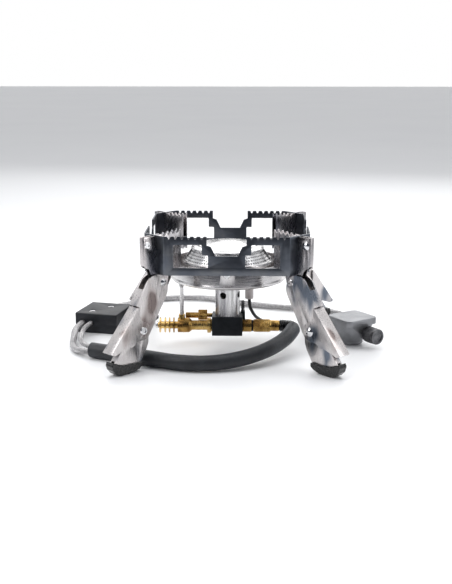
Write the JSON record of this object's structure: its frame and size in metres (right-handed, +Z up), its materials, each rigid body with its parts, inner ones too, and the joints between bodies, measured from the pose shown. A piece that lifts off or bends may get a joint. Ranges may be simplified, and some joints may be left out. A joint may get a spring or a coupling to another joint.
{
  "type": "canister stove",
  "caption": "Low remote-canister gas stove with a square toothed pot ring, folding channel legs, a round burner, brass valve train and a hose to a canister valve.",
  "frame": {"origin": "on the floor under the middle of the pot ring", "axes": "+Z up, -Y the front, where the long black hose crosses between the legs"},
  "size_m": [0.2941, 0.2827, 0.1177],
  "materials": {
    "ring_steel": "brushed",
    "bracket_steel": "brushed",
    "leg_steel": "brushed",
    "rivet_steel": "polished",
    "pan_steel": "satin spun",
    "burner_steel": "bright",
    "black_anodised": "satin",
    "brass": "turned",
    "dark_steel": "satin",
    "black_rubber": "matte",
    "gloss_rubber": "glossy",
    "ceramic": "glazed",
    "braid": "steel braid under clear jacket",
    "black_plastic": "matte",
    "valve_alloy": "bead blasted"
  },
  "bodies": {
    "stove": {"pot_ring": "ring_steel", "hip_rivets": "rivet_steel", "bracket_rivets": "rivet_steel", "drip_pan": "pan_steel", "pan_screws": "rivet_steel", "burner_cup": "pan_steel", "burner_skirt": "burner_steel", "burner_cap": "burner_steel", "mixing_tube": "pan_steel", "manifold_block": "black_anodised", "gas_jet": "brass", "air_screw": "dark_steel", "finned_barrel": "brass", "barrel_tip": "rivet_steel", "pan_stay": "pan_steel", "side_spigot": "brass", "inlet_ring": "brass", "inlet_o_ring": "black_rubber", "knurled_coupling": "brass", "hose_elbow": "black_rubber", "igniter_insulator": "ceramic", "igniter_pin": "dark_steel", "igniter_lead": "black_rubber", "sleeved_hose": "black_rubber", "braided_hose": "braid", "ignition_cable": "braid", "igniter_box_lower": "black_plastic", "igniter_box_upper": "black_plastic", "igniter_box_screws": "rivet_steel", "valve_body": "valve_alloy", "valve_o_ring": "black_rubber", "valve_hose_nut": "valve_alloy", "opening_pin": "brass", "canister_gasket": "black_rubber", "corner_bracket_front_right": "bracket_steel", "corner_bracket_front_left": "bracket_steel", "corner_bracket_rear_right": "bracket_steel", "corner_bracket_rear_left": "bracket_steel"},
    "valve_knob": {"valve_knob": "dark_steel", "valve_spindle": "rivet_steel"},
    "upper_leg_front_right": {"upper_leg_front_right": "leg_steel", "knee_rivet_front_right": "rivet_steel"},
    "lower_leg_front_right": {"knee_channel_front_right": "leg_steel", "lower_leg_front_right": "leg_steel", "foot_boot_front_right": "gloss_rubber"},
    "upper_leg_front_left": {"upper_leg_front_left": "leg_steel", "knee_rivet_front_left": "rivet_steel"},
    "lower_leg_front_left": {"knee_channel_front_left": "leg_steel", "lower_leg_front_left": "leg_steel", "foot_boot_front_left": "gloss_rubber"},
    "upper_leg_rear_right": {"upper_leg_rear_right": "leg_steel", "knee_rivet_rear_right": "rivet_steel"},
    "lower_leg_rear_right": {"knee_channel_rear_right": "leg_steel", "lower_leg_rear_right": "leg_steel", "foot_boot_rear_right": "gloss_rubber"},
    "upper_leg_rear_left": {"upper_leg_rear_left": "leg_steel", "knee_rivet_rear_left": "rivet_steel"},
    "lower_leg_rear_left": {"knee_channel_rear_left": "leg_steel", "lower_leg_rear_left": "leg_steel", "foot_boot_rear_left": "gloss_rubber"}
  },
  "joints": [
    {"name": "hip_front_right", "type": "hinge", "parent": "stove", "child": "upper_leg_front_right", "pos_m": [0.05798, -0.05798, 0.074], "axis": [0.7071, 0.7071, 0], "range_deg": [0, 15]},
    {"name": "knee_front_right", "type": "hinge", "parent": "upper_leg_front_right", "child": "lower_leg_front_right", "pos_m": [0.07495, -0.07495, 0.0355], "axis": [0.7071, 0.7071, 0], "range_deg": [0, 28]},
    {"name": "hip_front_left", "type": "hinge", "parent": "stove", "child": "upper_leg_front_left", "pos_m": [-0.05798, -0.05798, 0.074], "axis": [0.7071, -0.7071, 0], "range_deg": [0, 2]},
    {"name": "knee_front_left", "type": "hinge", "parent": "upper_leg_front_left", "child": "lower_leg_front_left", "pos_m": [-0.07495, -0.07495, 0.0355], "axis": [0.7071, -0.7071, 0], "range_deg": [0, 6]},
    {"name": "hip_rear_right", "type": "hinge", "parent": "stove", "child": "upper_leg_rear_right", "pos_m": [0.05798, 0.05798, 0.074], "axis": [-0.7071, 0.7071, 0], "range_deg": [0, 45]},
    {"name": "knee_rear_right", "type": "hinge", "parent": "upper_leg_rear_right", "child": "lower_leg_rear_right", "pos_m": [0.07495, 0.07495, 0.0355], "axis": [-0.7071, 0.7071, 0], "range_deg": [0, 125]},
    {"name": "hip_rear_left", "type": "hinge", "parent": "stove", "child": "upper_leg_rear_left", "pos_m": [-0.05798, 0.05798, 0.074], "axis": [-0.7071, -0.7071, 0], "range_deg": [0, 45]},
    {"name": "knee_rear_left", "type": "hinge", "parent": "upper_leg_rear_left", "child": "lower_leg_rear_left", "pos_m": [-0.07495, 0.07495, 0.0355], "axis": [-0.7071, -0.7071, 0], "range_deg": [0, 125]},
    {"name": "knob_turn", "type": "hinge", "parent": "stove", "child": "valve_knob", "pos_m": [0.12924, 0.00166, 0.012], "axis": [0.5736, -0.8192, 0], "range_deg": [0, 540]}
  ]
}
